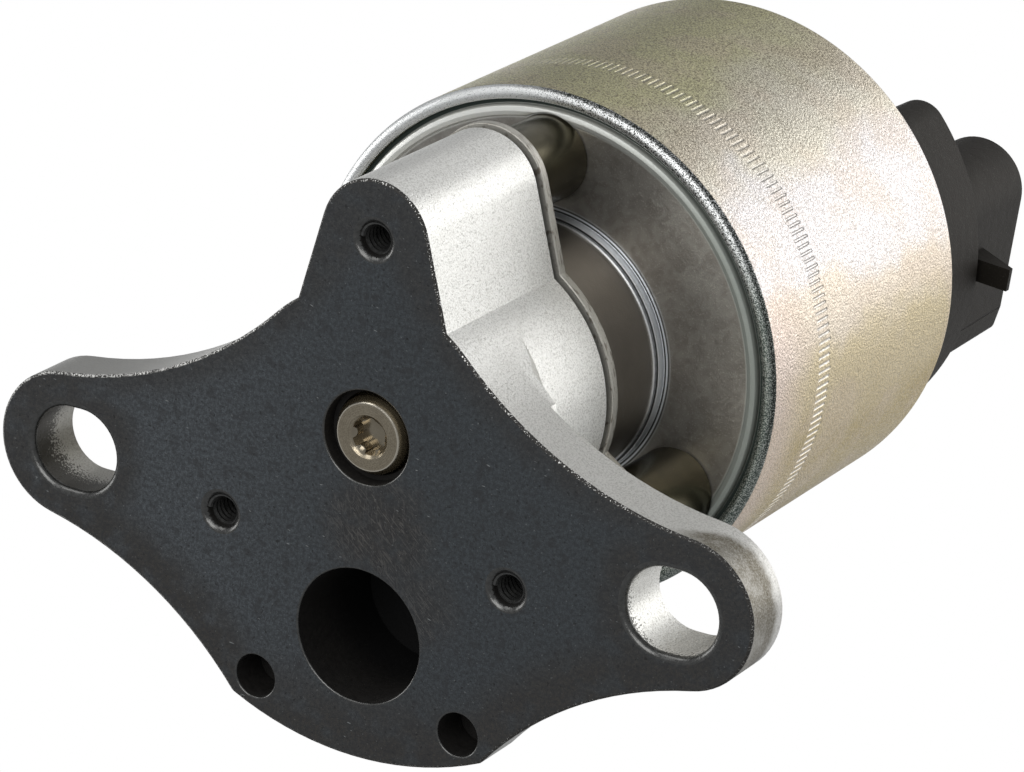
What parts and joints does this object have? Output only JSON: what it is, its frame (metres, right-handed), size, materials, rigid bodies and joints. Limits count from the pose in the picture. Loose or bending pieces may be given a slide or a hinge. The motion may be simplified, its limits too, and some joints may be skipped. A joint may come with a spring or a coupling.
{
  "type": "egr valve",
  "caption": "Solenoid exhaust gas recirculation valve: slotted flange base, pintle valve, crimped coil can on standoffs, and a sensor cap with a keyed connector.",
  "frame": {"origin": "midway between the two bolt slots, on the gasket face of the flange", "axes": "+Z out of the gasket face's back towards the sensor cap, +X from one bolt slot to the other, +Y towards the single screw lobe"},
  "size_m": [0.0956, 0.0677, 0.108],
  "materials": {
    "cast_iron": "bead-blasted grey casting with a dark phosphated gasket face",
    "seat_steel": "turned stainless steel",
    "stem_steel": "warm brown heat-tinted steel, turned",
    "bronze": "sintered bronze",
    "seal_black": "moulded rubber",
    "plate_steel": "thin rolled sheet steel",
    "dark_steel": "blackened turned steel",
    "drawn_steel": "drawn sheet steel, grey-brown plating",
    "plated_shell": "pale gold-silver plating with a fine sparkling grain",
    "pole_steel": "machined soft iron",
    "bobbin_plastic": "glass-filled nylon",
    "copper": "enamelled copper wire",
    "brass_pin": "tinned brass strip",
    "spring_steel": "spring wire",
    "cap_plastic": "matte dark grey-brown moulding",
    "board_ceramic": "white ceramic with a printed track"
  },
  "bodies": {
    "housing": {"base_casting": "cast_iron", "valve_seat": "seat_steel", "stem_bushing": "bronze", "stem_seal": "seal_black", "shield_plate": "plate_steel", "standoffs": "dark_steel", "actuator_screws": "dark_steel", "mounting_plate": "drawn_steel", "outer_shell": "plated_shell", "lower_pole": "pole_steel", "armature_sleeve": "seat_steel", "coil_bobbin": "bobbin_plastic", "coil_winding": "copper", "coil_leads": "brass_pin", "upper_pole": "pole_steel", "return_spring": "spring_steel", "cap_gasket": "seal_black", "sensor_cap": "cap_plastic", "connector_terminals": "brass_pin", "sensor_board": "board_ceramic", "sensor_spring": "spring_steel"},
    "valve": {"pintle": "stem_steel", "armature": "pole_steel", "armature_nut": "dark_steel"},
    "sensor": {"sensor_plunger": "bobbin_plastic", "wiper_carrier": "bobbin_plastic", "wiper_fingers": "brass_pin"}
  },
  "joints": [
    {"name": "pintle_lift", "type": "slide", "parent": "housing", "child": "valve", "axis": [0, 0, 1], "range_m": [0, 0.0045], "stiffness_N_per_m": 3000, "springref_m": -0.006, "deforming": ["return_spring"]},
    {"name": "sensor_plunger_slide", "type": "slide", "parent": "housing", "child": "sensor", "axis": [0, 0, 1], "range_m": [0, 0.0045], "stiffness_N_per_m": 150, "springref_m": -0.005, "deforming": ["sensor_spring"]}
  ],
  "couplings": [
    {"joint": "sensor_plunger_slide", "follows": "pintle_lift", "ratio": 1}
  ]
}
